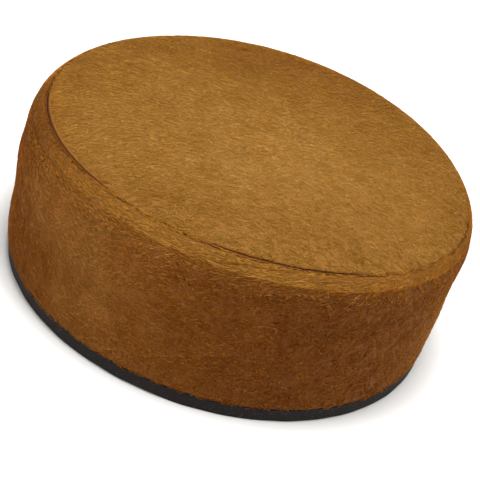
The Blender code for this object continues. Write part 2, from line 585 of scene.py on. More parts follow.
@dataclass(frozen=True)
class SeamEdge:
    """How pile behaves beside the crown's seam."""

    form: CapForm
    bare: float = 0.42 * MM
    fray: float = 0.25 * MM
    fray_rarity: int = 6
    cover: float = 1.6 * MM
    root_cover: float = 0.9 * MM
    low: float = 0.2
    soft: float = 0.9 * MM
    # Painted shade on the pile beside the open seam: its reach, how much darker, how much less lit gold.
    shade_reach: float = 0.6 * MM
    shade_tone: float = -0.4
    shade_depth: float = 0.7

    def covered(self, turn: Array) -> Array:
        """How far pile hides the seam at each angle round the cap."""
        return np.maximum(1 - self.form.openness(turn), 0.0) ** 2

    def root_limit(self, turn: Array) -> Array:
        """How far past the seam roots stand: short of it where it is open, past it where covered."""
        return self.root_cover * self.covered(turn) - self.bare * self.form.openness(turn)

    def overlap(self, turn: Array, chance: Array) -> Array:
        """How far past the seam hairs lie, given a draw from 0 to 1 for each."""
        frayed = self.fray * chance**self.fray_rarity
        return self.root_limit(turn) + frayed + self.cover * self.covered(turn) * chance

    def fullness(self, turn: Array, to_seam: Array) -> Array:
        """Share of its full height that the pile has at distances to the seam."""
        dip = (1 - self.low) * np.minimum(self.form.openness(turn), 1.0)
        return 1 - dip * np.exp(-np.maximum(to_seam, 0.0) / self.soft)

    def shaded(self, turn: Array, to_seam: Array, tone: Array, lit_golden: Array) -> tuple[Array, Array]:
        """Paints shade on the pile beside the open seam: darker, and with less of the lit gold look.

        Args:
            turn: Angles round the cap, in radians.
            to_seam: Distances to the seam.
            tone: The pile's tones.
            lit_golden: Its share of the lit gold look.

        Returns:
            Its new tones, and its share of the lit gold look, from 0 to 1.
        """
        near = np.exp(-np.maximum(to_seam, 0.0) / self.shade_reach)
        near *= np.clip(self.form.openness(turn), 0.0, 1.0)
        return tone + self.shade_tone * near, np.clip(lit_golden * (1 - self.shade_depth * near), 0, 1)


@dataclass(frozen=True)
class BandGround:
    """The band's outer face: across is round the cap, along is up the wall and over the shoulder."""

    form: CapForm
    edge: SeamEdge
    hem_foot: float = 5.6 * MM
    hem_inset: float = 0.25 * MM
    past_seam: float = 3.0 * MM
    past_rows: int = 8
    swirl: float = math.radians(14)
    swirls: tuple[Swirl, ...] = (
        Swirl(across=7, along=4.1),
        Swirl(across=5, along=-6.3, start=1.0 + math.pi / 2),
        Swirl(across=17, along=-9.0, start=0.7),
        Swirl(across=11, along=14.0),
    )
    roll_heading: float = math.radians(-4)
    roll_combing: float = 0.8
    roll_calm: float = 0.85
    roll_wander: float = 0.5 * MM
    roll_curl: float = -0.4
    roll_flatness: float = 0.6
    combed_below: float = 2.5 * MM
    # Shares of the lit gold look, as painted light and shade.
    wall_lit_golden: float = 0.11
    patch_lit_golden: float = 0.6
    # A strip under the roll, a little darker and with more lit gold: painted shadow and light.
    under_roll: float = 6 * MM
    under_roll_lit_golden: float = 0.19
    under_tone: float = -0.03
    wall_tone: float = 0.025
    left_curl: float = 0.1
    right_curl: float = 1.2
    curl_start: float = math.radians(-138)
    curl_width: float = math.radians(98)
    roll_rows: tuple[RollRow, ...] = (
        RollRow(-180, 0.40, -0.12),
        RollRow(-165, 0.45, -0.18),
        RollRow(-150, 0.42, -0.23),
        RollRow(-135, 0.52, -0.14),
        RollRow(-112, 0.68, -0.08),
        RollRow(-85, 0.72, -0.07),
        RollRow(-70, 0.64, -0.09),
        RollRow(-45, 0.52, -0.14),
        RollRow(-20, 0.48, -0.18),
        RollRow(0, 0.60, -0.14),
        RollRow(60, 0.60, -0.10),
        RollRow(180, 0.40, -0.08),
    )
    # Partly the pile's own patches, partly painted shade, as on the wall's far left edge.
    spots: tuple[ShadeSpot, ...] = (
        ShadeSpot(-252, 66, 46, 6, -0.20),
        ShadeSpot(-250, 50, 42, 12, 0.09),
        ShadeSpot(-100, 56, 55, 3.5, -0.12),
        ShadeSpot(-18, 63, 34, 9, -0.26),
        ShadeSpot(-292, 56, 32, 16, -0.26),
        ShadeSpot(-12, 20, 18, 26, 0.28),
        ShadeSpot(-238, 14, 18, 14, -0.10),
        ShadeSpot(-216, 48, 22, 22, 0.06),
        ShadeSpot(-212, 30, 34, 36, 0.16),
        ShadeSpot(-112, 24, 40, 30, -0.11),
        ShadeSpot(-34, 34, 26, 40, 0.07),
        ShadeSpot(-266, 14, 24, 18, -0.08),
        ShadeSpot(60, 40, 50, 24, 0.06),
        ShadeSpot(170, 22, 44, 26, -0.05),
    )
    # Partings in the pile, each painted as a thin line of shade.
    shaded_partings: tuple[Crease, ...] = (
        Crease(first=(-163 * MM, 61.8 * MM), last=(-146 * MM, 65.2 * MM), width=0.45 * MM, tone=-0.45),
        Crease(first=(-146 * MM, 65.2 * MM), last=(-126 * MM, 66.4 * MM), width=0.40 * MM, tone=-0.35),
        Crease(first=(-118 * MM, 64.0 * MM), last=(-104 * MM, 65.0 * MM), width=0.35 * MM, tone=-0.25),
    )
    lay_rows: tuple[LayRow, ...] = (
        LayRow(-180, -24),
        LayRow(-140, -12),
        LayRow(-115, 4),
        LayRow(-85, 12),
        LayRow(-65, 26),
        LayRow(-45, 50),
        LayRow(-15, 40),
        LayRow(40, 8),
        LayRow(120, -10),
        LayRow(180, -24),
    )

    def line(self) -> tuple[Array, Array, Array]:
        """Draws the face from hem to seam, and a little way on over the crown.

        Returns:
            Distance from the hem, inset from the widest radius, and height, for each point.
        """
        form = self.form
        points = [(self.hem_inset, self.hem_foot), (0.0, form.wall_foot), (0.0, form.wall_height)]
        points += form.shoulder(0.0, form.seam_turn, 0.0, form.shoulder_rows)[1:]
        points += [
            (form.seam_inset + past, form.crown_height(1 - past / form.crown_radius))
            for past in np.linspace(0.0, self.past_seam, self.past_rows + 1)[1:]
        ]
        inset, height = np.array(points).T
        lengths = np.hypot(np.diff(inset), np.diff(height))
        return np.concatenate([[0.0], np.cumsum(lengths)]), inset, height

    @property
    def seam(self) -> float:
        """Distance from the hem to the seam."""
        distance, inset, height = self.line()
        curved = height > self.form.wall_height
        return float(np.interp(self.form.seam_inset, inset[curved], distance[curved]))

    def height(self, along: Array) -> Array:
        """Height over the floor at distances from the hem."""
        distance, _, height = self.line()
        return np.interp(along, distance, height)

    def turn(self, flat: Flat) -> Array:
        """Angles round the cap of flat places."""
        return flat.across / self.form.widest

    def flat(self, points: CapPoints) -> Flat:
        """Flat places of points of the round cap: how far round it, and how far up from the hem."""
        distance, _, heights = self.line()
        below_seam = heights <= self.form.seam_height
        along = np.interp(points.height, heights[below_seam], distance[below_seam])
        return Flat(points.turn * self.form.widest, along)

    def scatter(self, rng: np.random.Generator, count: int) -> Flat:
        """Picks as many evenly spread places as asked for."""
        half_round = math.pi * self.form.widest
        top = self.seam + self.edge.root_cover
        return Flat(rng.uniform(-half_round, half_round, count), rng.uniform(0.0, top, count))

    def keep(self, flat: Flat) -> Flat:
        """Moves places past the hem or the seam back to it."""
        top = self.seam + self.edge.root_limit(self.turn(flat))
        return Flat(flat.across, np.clip(flat.along, 0.0, top))

    def surface(self, flat: Flat) -> Array:
        """World points of the face at flat places; below the hem it goes straight down."""
        distance, inset, height = self.line()
        reach = self.form.widest - np.interp(flat.along, distance, inset)
        level = np.interp(flat.along, distance, height) + np.minimum(flat.along, 0.0)
        return self.form.place(CapPoints(self.turn(flat), reach, level))

    def wandering(self, flat: Flat) -> Array:
        """How the pile's lay wanders, as a smooth value from about -2 to 2."""
        return wander(self.swirls, self.turn(flat), flat.along / self.form.wall_height)

    def heading(self, flat: Flat) -> Array:
        """Which way the pile lies, over the level: as the table has it on the wall, level on the roll.

        Args:
            flat: Places on the face.

        Returns:
            One heading a place, in radians.
        """
        lay = np.radians(read_rows(self.lay_rows, self.turn(flat))[0])
        on_roll = self.form.on_roll(self.height(flat.along))
        lay += (self.roll_heading - lay) * self.roll_combing * on_roll
        return lay + self.swirl * self.wandering(flat) * (1 - self.roll_calm * on_roll)

    def curl(self, flat: Flat) -> Array:
        """How curled the pile is: fuzzy on the wall, combed tight along the roll."""
        to_right = eased((wrapped(self.turn(flat)) - self.curl_start) / self.curl_width)
        fuzzy = self.left_curl + (self.right_curl - self.left_curl) * to_right
        combed = self.form.on_roll(self.height(flat.along) + self.combed_below)
        return fuzzy + (self.roll_curl - fuzzy) * combed

    def room(self, root: Flat, step: Flat, chance: Array) -> Array:
        """Finds how much of its step each hair may take before the seam or the hem stops it.

        Args:
            root: The hairs' roots.
            step: How far each would reach, across and along.
            chance: A draw from 0 to 1 for each hair, which sets how far past the seam it lies.

        Returns:
            A share of the step for each hair.
        """
        top = self.seam + self.edge.overlap(self.turn(root), chance)
        end = root.along + step.along
        over = np.where(end > top, (top - root.along) / np.maximum(step.along, LEAST_STEP), 1.0)
        under = np.where(end < 0, -root.along / np.minimum(step.along, -LEAST_STEP), 1.0)
        return np.clip(np.minimum(over, under), LEAST_ROOM, 1.0)

    def fullness(self, flat: Flat) -> Array:
        """How high the pile stands, as a share: flatter on the roll and at the open seam."""
        combed = 1 - self.roll_flatness * self.form.on_roll(self.height(flat.along))
        return combed * self.edge.fullness(self.turn(flat), self.seam - flat.along)

    def shade(self, flat: Flat) -> tuple[Array, Array]:
        """How the pile looks: lit gold on the roll, darker on the wall, and patchy, with painted light and
        shade.

        Args:
            flat: Places on the face.

        Returns:
            A tone to add at each place, and its share of the lit gold look.
        """
        wandering = self.wandering(flat)
        height = self.height(flat.along) + self.roll_wander * wandering
        on_roll = self.form.on_roll(height)
        under_roll = self.form.on_roll(height + self.under_roll) - on_roll
        # Patches, partings and the roll's rows paint light and shade into the tone, besides the pile's own
        # tone.
        patches = spot_sum(self.spots, flat) + self.wall_tone * wandering + crease_shade_sum(self.shaded_partings, flat)
        roll_lit_golden, roll_tone = read_rows(self.roll_rows, self.turn(flat))
        lit_golden = self.wall_lit_golden + self.patch_lit_golden * patches
        lit_golden += roll_lit_golden * on_roll + self.under_roll_lit_golden * under_roll
        tone = patches + roll_tone * on_roll + self.under_tone * under_roll
        return self.edge.shaded(self.turn(flat), self.seam - flat.along, tone, lit_golden)


@dataclass(frozen=True)
class CrownGround:
    """The crown's outer face, laid out as its plan: across is +X and along is +Y."""

    form: CapForm
    edge: SeamEdge
    lean: float = math.radians(85)
    base_heading: float = math.radians(-2)
    swirl: float = math.radians(11)
    swirls: tuple[Swirl, ...] = (
        Swirl(across=5.2, along=3.1, start=0.6),
        Swirl(across=-2.7, along=4.4, start=math.pi / 2),
        Swirl(across=13.0, along=-8.0, size=0.8),
        Swirl(across=9.0, along=15.0, start=1.3),
    )
    # The crown takes the full lit gold look, painted light on its upward face; patches shift it.
    lay_tone: float = 0.025
    patch_lit_golden: float = 2.0
    fuzzy_way: float = math.radians(-41)
    fuzzy_start: float = 12 * MM
    fuzzy_width: float = 70 * MM
    most_curl: float = 1.15
    # Partly the pile's own patches, partly painted light and shade: a lighter middle, a darker back edge.
    spots: tuple[ShadeSpot, ...] = (
        ShadeSpot(0, -18, 62, 42, 0.12),
        ShadeSpot(0, 80, 95, 45, -0.09),
        ShadeSpot(-84, 15, 24, 50, -0.05),
        ShadeSpot(4, 82, 46, 16, -0.12),
        ShadeSpot(34, 64, 16, 9, -0.08),
        ShadeSpot(-30, 62, 15, 10, -0.06),
        ShadeSpot(-62, 50, 12, 14, -0.08),
        ShadeSpot(70, 46, 12, 12, -0.05),
        ShadeSpot(88, -6, 10, 24, -0.12),
        ShadeSpot(-82, -40, 10, 12, -0.08),
        ShadeSpot(10, -68, 46, 14, -0.05),
    )

    def turn(self, flat: Flat) -> Array:
        """Angles round the cap of flat places."""
        return np.arctan2(flat.along, flat.across)

    def to_seam(self, flat: Flat) -> Array:
        """Distances from flat places out to the seam."""
        return self.form.crown_radius - np.hypot(*flat)

    def flat(self, points: CapPoints) -> Flat:
        """Flat places of points of the round cap: their place on its plan."""
        return Flat(points.reach * np.cos(points.turn), points.reach * np.sin(points.turn))

    def scatter(self, rng: np.random.Generator, count: int) -> Flat:
        """Picks as many evenly spread places as asked for."""
        reach = (self.form.crown_radius + self.edge.root_cover) * np.sqrt(rng.uniform(0.0, 1.0, count))
        turn = rng.uniform(-math.pi, math.pi, count)
        return Flat(reach * np.cos(turn), reach * np.sin(turn))

    def keep(self, flat: Flat) -> Flat:
        """Moves places past the seam back to it."""
        limit = self.form.crown_radius + self.edge.root_limit(self.turn(flat))
        share = np.minimum(limit / np.maximum(np.hypot(*flat), LEAST_STEP), 1.0)
        return Flat(flat.across * share, flat.along * share)

    def surface(self, flat: Flat) -> Array:
        """World points of the face at plan places; past the seam they lie on the shoulder."""
        reach = np.hypot(*flat)
        return self.form.place(CapPoints(self.turn(flat), reach, np.interp(reach, *self.form.upper_line())))

    def heading(self, flat: Flat) -> Array:
        """Which way the pile lies, in radians: left to right, fanning out towards the edge."""
        fan = self.base_heading + self.lean * flat.across * flat.along / self.form.crown_radius**2
        return fan + self.swirl * self.wandering(flat)

    def wandering(self, flat: Flat) -> Array:
        """How the pile's lay wanders, as a smooth value from about -2 to 2."""
        return wander(self.swirls, *np.divide(flat, self.form.crown_radius))

    def curl(self, flat: Flat) -> Array:
        """How curled the pile is: combed at the back and left, a short fuzz at the front and right."""
        towards_front = flat.across * math.cos(self.fuzzy_way) + flat.along * math.sin(self.fuzzy_way)
        return self.most_curl * eased((towards_front + self.fuzzy_start) / self.fuzzy_width)

    def room(self, root: Flat, step: Flat, chance: Array) -> Array:
        """Finds how much of its step each hair may take before the seam stops it.

        Args:
            root: The hairs' roots.
            step: How far each would reach, across and along.
            chance: A draw from 0 to 1 for each hair, which sets how far past the seam it lies.

        Returns:
            A share of the step for each hair.
        """
        first = np.hypot(*root)
        last = np.hypot(*np.add(root, step))
        limit = self.form.crown_radius + self.edge.overlap(self.turn(root), chance)
        share = (limit - first) / np.maximum(last - first, LEAST_STEP)
        return np.where(last > limit, np.clip(share, LEAST_ROOM, 1.0), 1.0)

    def fullness(self, flat: Flat) -> Array:
        """How high the pile stands, as a share: flatter at the open seam."""
        return self.edge.fullness(self.turn(flat), self.to_seam(flat))

    def shade(self, flat: Flat) -> tuple[Array, Array]:
        """A tone to add and the lit gold share, painted light on the top, with broad patches where the pile
        wanders.
        """
        patches = spot_sum(self.spots, flat) + self.lay_tone * self.wandering(flat)
        return self.edge.shaded(self.turn(flat), self.to_seam(flat), patches, 1 + self.patch_lit_golden * patches)


NapGround = BandGround | CrownGround


@dataclass(frozen=True)
class Lathe:
    """Turns a profile into a shell and settles it on the cap's soft form."""

    form: CapForm
    steps: int = 224
    weld: float = 0.01 * MM
    sharp: float = math.radians(50)
    steepest_nap: float = -0.5
    # How much darker the pile's foot is made the more it faces up: painted shade.
    painted_foot_shade: float = 0.22

    def turn(self, name: str, profile: Line, is_loop: bool, ground: NapGround | None = None) -> Piece:
        """Makes one closed shell.

        Args:
            name: The piece's name.
            profile: Pairs of inset from the widest radius and height.
            is_loop: True where the last point joins the first, False where both are on the axis.
            ground: The face pile grows on, whose tone and lit gold share, with painted light and shade, the
                shell carries.

        Returns:
            The shell, with its inward and downward faces in the backing's slot.
        """
        shape = bmesh.new()
        points = [
            shape.verts.new((max(self.form.widest - inset, 0.0), 0, height)) for inset, height in profile
        ]
        ends = points[1:] + points[:1] if is_loop else points[1:]
        edges = [shape.edges.new(pair) for pair in zip(points, ends)]
        bmesh.ops.spin(
            shape,
            geom=points + edges,
            cent=(0, 0, 0),
            axis=(0, 0, 1),
            angle=math.tau,
            steps=self.steps,
            use_merge=True,
        )
        bmesh.ops.remove_doubles(shape, verts=shape.verts, dist=self.weld)
        bmesh.ops.recalc_face_normals(shape, faces=shape.faces)
        x, y, height = np.array([vertex.co for vertex in shape.verts]).T
        on_cap = CapPoints(np.arctan2(y, x), np.hypot(x, y), height)
        for vertex, place in zip(shape.verts, self.form.place(on_cap)):
            vertex.co = place
        shape.normal_update()
        facing_up = np.array([max(vertex.normal.z, 0.0) for vertex in shape.verts])
        for face in shape.faces:
            outward = face.calc_center_median()
            outward.z = abs(outward.z)
            faces_in = face.normal.dot(outward) < 0 or face.normal.z < self.steepest_nap
            face.material_index = (Side.BACKING if faces_in else Side.NAPPED).value
        mesh = bpy.data.meshes.new(name)
        shape.to_mesh(mesh)
        shape.free()
        if ground:
            tone, lit_golden = ground.shade(ground.flat(on_cap))
            # Upward faces of the pile's foot are darkened: painted shade from the hairs over it.
            tone = tone - self.painted_foot_shade * facing_up
            add_shades(mesh, {"tone": tone, "lit_golden": lit_golden, "dark_seam_and_shade": self.form.dark_seam_and_shade(on_cap)})
        mesh.shade_smooth()
        mesh.set_sharp_from_angle(angle=self.sharp)
        return mesh_object(name, mesh)


class Hairs(NamedTuple):
    """One layer's hairs laid out flat: where each starts, bends and ends, its curl, and if it lies alone."""

    root: Flat
    mid: Flat
    tip: Flat
    curl: Array
    lone: Array


@dataclass(frozen=True)
class Spindle:
    """The form of one hair: a root, two sides, a crest and a tip, with the tone at each."""

    points: int = 5
    faces: tuple[tuple[int, int, int], ...] = (
        (0, 2, 1),
        (0, 3, 2),
        (0, 1, 3),
        (4, 1, 2),
        (4, 2, 3),
        (4, 3, 1),
    )
    # Darker at the root and lighter at the tip: painted shade at the pile's foot, painted light on the tips.
    tones: tuple[float, ...] = (-0.15, 0.0, 0.0, 0.03, 0.06)


@dataclass(frozen=True)
class NapLayer:
    """One layer of pile: how its locks and hairs are cut, combed and toned."""

    name: str
    locks: int
    lock_hairs: int
    length: float
    width: float
    rise: float
    stray: float
    bend: float
    tone: float
    tone_spread: float
    lock_spread: float
    seed: int
    spindle: Spindle = Spindle()
    lock_width: float = 0.35 * MM
    lock_length: float = 1.1 * MM
    length_range: tuple[float, float] = (0.55, 1.35)
    rise_range: tuple[float, float] = (0.5, 1.2)
    width_range: tuple[float, float] = (0.7, 1.25)
    tip_range: tuple[float, float] = (0.2, 1.05)
    mid_rise: float = 0.62
    lone_share: float = 0.006
    lone_length: float = 1.7
    lone_tone: float = 0.35
    straight_stray: float = 0.6
    curled_stray: float = 2.2
    curled_length: float = 0.7
    straight_contrast: float = 0.55
    curled_contrast: float = 1.1
    ridge: float = 0.4
    root_depth: float = 0.25 * MM
    step: float = 0.2 * MM

    def lifted(self, ground: NapGround, flat: Flat, lift: Array) -> Array:
        """World points over flat places of a face, each lifted along the cloth's normal."""
        base = ground.surface(flat)
        way_across = ground.surface(Flat(flat.across + self.step, flat.along)) - base
        way_along = ground.surface(Flat(flat.across, flat.along + self.step)) - base
        return base + unit(np.cross(way_across, way_along)) * lift[:, None]

    def lay_out(self, ground: NapGround, rng: np.random.Generator) -> Hairs:
        """Lays the hairs out flat in their locks.

        Args:
            ground: The face that the pile grows on.
            rng: The layer's random draws.

        Returns:
            The hairs, each stopped where the seam or the hem stops it.
        """
        count = self.locks * self.lock_hairs
        centre = Flat(*(np.repeat(column, self.lock_hairs) for column in ground.scatter(rng, self.locks)))
        curl = ground.curl(centre)
        stray = self.straight_stray + (self.curled_stray - self.straight_stray) * curl
        shorter = 1 + (self.curled_length - 1) * curl
        lock_stray = np.repeat(rng.normal(0, self.stray, self.locks), self.lock_hairs)
        lay = ground.heading(centre) + stray * lock_stray
        on = rng.normal(0, self.lock_length, count) * shorter
        off = rng.normal(0, self.lock_width, count)
        across = centre.across + on * np.cos(lay) - off * np.sin(lay)
        along = centre.along + on * np.sin(lay) + off * np.cos(lay)
        root = ground.keep(Flat(across, along))
        lone = rng.random(count) < self.lone_share
        length = self.length * shorter * rng.uniform(*self.length_range, count)
        length *= np.where(lone, self.lone_length, 1.0)
        heading = lay + rng.normal(0, self.stray / 2, count) * stray
        bent = heading + rng.normal(0, self.bend, count) * stray
        half, rest = (length / 2 * np.stack([np.cos(way), np.sin(way)]) for way in (heading, bent))
        room = ground.room(root, Flat(*(half + rest)), rng.random(count))
        mid, tip = (Flat(*(np.array(root) + reach * room)) for reach in (half, half + rest))
        return Hairs(root, mid, tip, curl, lone)

    def raised(self, ground: NapGround, hairs: Hairs, rng: np.random.Generator) -> Array:
        """Raises the hairs off the cloth.

        Args:
            ground: The face that the pile grows on.
            hairs: The hairs, laid out flat.
            rng: The layer's random draws.

        Returns:
            World points, one row of a spindle's points for each hair.
        """
        count = len(hairs.lone)
        rise = self.rise * ground.fullness(hairs.root) * rng.uniform(*self.rise_range, count)
        width = self.width * rng.uniform(*self.width_range, count)
        root = self.lifted(ground, hairs.root, np.full(count, -self.root_depth))
        mid = self.lifted(ground, hairs.mid, self.mid_rise * rise)
        crest = self.lifted(ground, hairs.mid, self.mid_rise * rise + width * self.ridge)
        tip_rise = rise * ground.fullness(hairs.tip) * rng.uniform(*self.tip_range, count)
        tip = self.lifted(ground, hairs.tip, tip_rise)
        half = unit(np.cross(tip - root, crest - mid)) * (width / 2)[:, None]
        return np.stack([root, mid - half, mid + half, crest, tip], axis=1)

    def flecks(self, hairs: Hairs, rng: np.random.Generator) -> Array:
        """Draws how much lighter each hair is than the pile round it."""
        fleck = rng.normal(0, self.tone_spread, len(hairs.lone))
        fleck += np.repeat(rng.normal(0, self.lock_spread, self.locks), self.lock_hairs)
        fleck *= self.straight_contrast + (self.curled_contrast - self.straight_contrast) * hairs.curl
        return fleck + np.where(hairs.lone, self.lone_tone, 0.0)

    def comb(self, ground: NapGround, material: Material) -> Piece:
        """Grows the layer over a face as one joined mesh of slim spindles.

        Args:
            ground: The face that the pile grows on.
            material: The hair's finish.

        Returns:
            The layer's object, with each hair's tone, lit gold share (painted light) and fleck in attributes.
        """
        rng = np.random.default_rng(self.seed)
        hairs = self.lay_out(ground, rng)
        points = self.raised(ground, hairs, rng)
        starts = np.arange(len(points))[:, None, None] * self.spindle.points
        faces = (starts + np.array(self.spindle.faces)).reshape(-1, 3)
        lighter, lit_golden = ground.shade(hairs.root)
        tones = np.clip((self.tone + lighter)[:, None] + np.array(self.spindle.tones), 0, 1)
        mesh = bpy.data.meshes.new(self.name)
        mesh.vertices.add(points.size // 3)
        mesh.vertices.foreach_set("co", points.astype(np.float32).ravel())
        mesh.loops.add(faces.size)
        mesh.loops.foreach_set("vertex_index", faces.astype(np.int32).ravel())
        mesh.polygons.add(len(faces))
        mesh.polygons.foreach_set("loop_start", np.arange(0, faces.size, 3, dtype=np.int32))
        mesh.update(calc_edges=True)
        lit_golden, fleck = np.repeat([lit_golden, self.flecks(hairs, rng)], self.spindle.points, axis=1)
        add_shades(mesh, {"tone": tones.ravel(), "lit_golden": lit_golden, "fleck": fleck})
        mesh.shade_smooth()
        mesh.materials.append(material)
        return mesh_object(self.name, mesh)


class Shades(NamedTuple):
    """The colours of pile from its darkest hairs to its lightest, as sRGB hex."""

    dark: str
    middle: str
    light: str


# The darker shades are the wool in shade, the gold ones the wool in light: painted light and shade.
SHADED_DEEP_WOOL = Shades(dark="#582d07", middle="#894d14", light="#ae7a38")
LIT_GOLDEN_WOOL = Shades(dark="#6a4512", middle="#926627", light="#b98f50")


def wool_colour(tree: Tree, share: Socket) -> Socket:
    """Picks the colour of dyed wool between its shaded look and its lit gold look, as the piece's attribute
    says.

    Args:
        tree: The material's node tree.
        share: The socket that says how light the wool is, from 0 to 1.

    Returns:
        The colour's socket.
    """
    shaded_deep, lit_golden = (
        add_node(tree, "ValToRGB", links={"Fac": share}, stops=tuple(zip((0.0, 0.5, 1.0), wool)))
        for wool in (SHADED_DEEP_WOOL, LIT_GOLDEN_WOOL)
    )
    lift = add_node(tree, "Attribute", {"attribute_name": "lit_golden"}).outputs["Fac"]
    colours = {"Fac": lift, "Color1": shaded_deep.outputs["Color"], "Color2": lit_golden.outputs["Color"]}
    return add_node(tree, "MixRGB", links=colours).outputs["Color"]


@dataclass(frozen=True)
class WoolHair:
    """Dyed wool pile, brushed: its shaded look and its lit gold look, mixed as painted light and shade."""

    name: str
    roughness: float = 0.7
    gloss: float = 0.04
    sheen: float = 0.01
    sheen_roughness: float = 0.5
    sheen_colour: str = "#d8a050"
    patch_size: float = 9 * MM
    patch_tone: float = 0.09
    fleck_tint: tuple[float, float, float] = (0.30, 0.20, 0.09)
    darkest: tuple[float, float, float] = (0.02, 0.008, 0.001)

    def material(self) -> Material:
        """Builds the finish.

        Returns:
            The material, which reads the hair's tone, lit gold share and fleck, and has a slow change of dye.
        """
        material, tree, shader = new_material(self.name)
        place = add_node(tree, "TexCoord").outputs["Object"]
        tone = add_node(tree, "Attribute", {"attribute_name": "tone"}).outputs["Fac"]
        patch = add_node(
            tree,
            "TexNoise",
            values={"Scale": 1 / self.patch_size, "Detail": 3.0, "Roughness": 0.55},
            links={"Vector": place},
        ).outputs["Fac"]
        spread = add_node(
            tree,
            "MapRange",
            values={"From Min": 0.3, "From Max": 0.7, "To Min": -self.patch_tone, "To Max": self.patch_tone},
            links={"Value": patch},
        ).outputs["Result"]
        share = add_node(
            tree, "Math", {"operation": "ADD", "use_clamp": True}, links={0: tone, 1: spread}
        ).outputs["Value"]
        fleck = add_node(tree, "Attribute", {"attribute_name": "fleck"}).outputs["Fac"]
        flecked = add_node(
            tree,
            "VectorMath",
            {"operation": "MULTIPLY_ADD"},
            {1: self.fleck_tint},
            {0: fleck, 2: wool_colour(tree, share)},
        ).outputs["Vector"]
        held = add_node(tree, "VectorMath", {"operation": "MAXIMUM"}, {1: self.darkest}, {0: flecked})
        values = {
            "Roughness": self.roughness,
            "Specular IOR Level": self.gloss,
            "Sheen Weight": self.sheen,
            "Sheen Roughness": self.sheen_roughness,
            "Sheen Tint": linear(self.sheen_colour),
        }
        set_inputs(shader, values, {"Base Color": held.outputs["Vector"]})
        return material


@dataclass(frozen=True)
class PileGround:
    """The foot of the pile: short dense wool between the hairs, in painted shade, darker still at the open
    seam.
    """

    name: str
    # Set below the hairs' tone: painted shade at the foot of the pile.
    tone: float = 0.22
    spread: float = 0.25
    # The open seam: its dark cut edge, and painted shade in and beside the groove.
    seam_and_shade_colour: str = "#50230d"
    clump_size: float = 1.6 * MM
    grain_size: float = 0.5 * MM
    relief: float = 0.25 * MM
    relief_strength: float = 0.8
    roughness: float = 0.9
    gloss: float = 0.2

    def material(self) -> Material:
        """Builds the finish.

        Returns:
            The material, which reads the shell's tone and lit gold share, with clumps and fine grain over
            them.
        """
        material, tree, shader = new_material(self.name)
        place = add_node(tree, "TexCoord").outputs["Object"]
        clumps, grain = (
            add_node(
                tree,
                "TexNoise",
                values={"Scale": 1 / size, "Detail": detail, "Roughness": rough},
                links={"Vector": place},
            ).outputs["Fac"]
            for size, detail, rough in ((self.clump_size, 4.0, 0.6), (self.grain_size, 2.0, 0.7))
        )
        mixed = add_node(
            tree, "Mix", {"data_type": "FLOAT"}, {"Factor": 0.5}, {"A": clumps, "B": grain}
        ).outputs["Result"]
        least, most = self.tone - self.spread, self.tone + self.spread
        grained = add_node(
            tree,
            "MapRange",
            values={"From Min": 0.25, "From Max": 0.75, "To Min": least, "To Max": most},
            links={"Value": mixed},
        ).outputs["Result"]
        tone, dark_seam_and_shade = (
            add_node(tree, "Attribute", {"attribute_name": name}).outputs["Fac"]
            for name in ("tone", "dark_seam_and_shade")
        )
        share = add_node(
            tree, "Math", {"operation": "ADD", "use_clamp": True}, links={0: tone, 1: grained}
        ).outputs["Value"]
        colour = add_node(
            tree,
            "MixRGB",
            values={"Color2": linear(self.seam_and_shade_colour)},
            links={"Fac": dark_seam_and_shade, "Color1": wool_colour(tree, share)},
        ).outputs["Color"]
        bump = add_node(
            tree,
            "Bump",
            values={"Strength": self.relief_strength, "Distance": self.relief},
            links={"Height": mixed},
        ).outputs["Normal"]
        values = {"Roughness": self.roughness, "Specular IOR Level": self.gloss}
        set_inputs(shader, values, {"Base Color": colour, "Normal": bump})
        return material


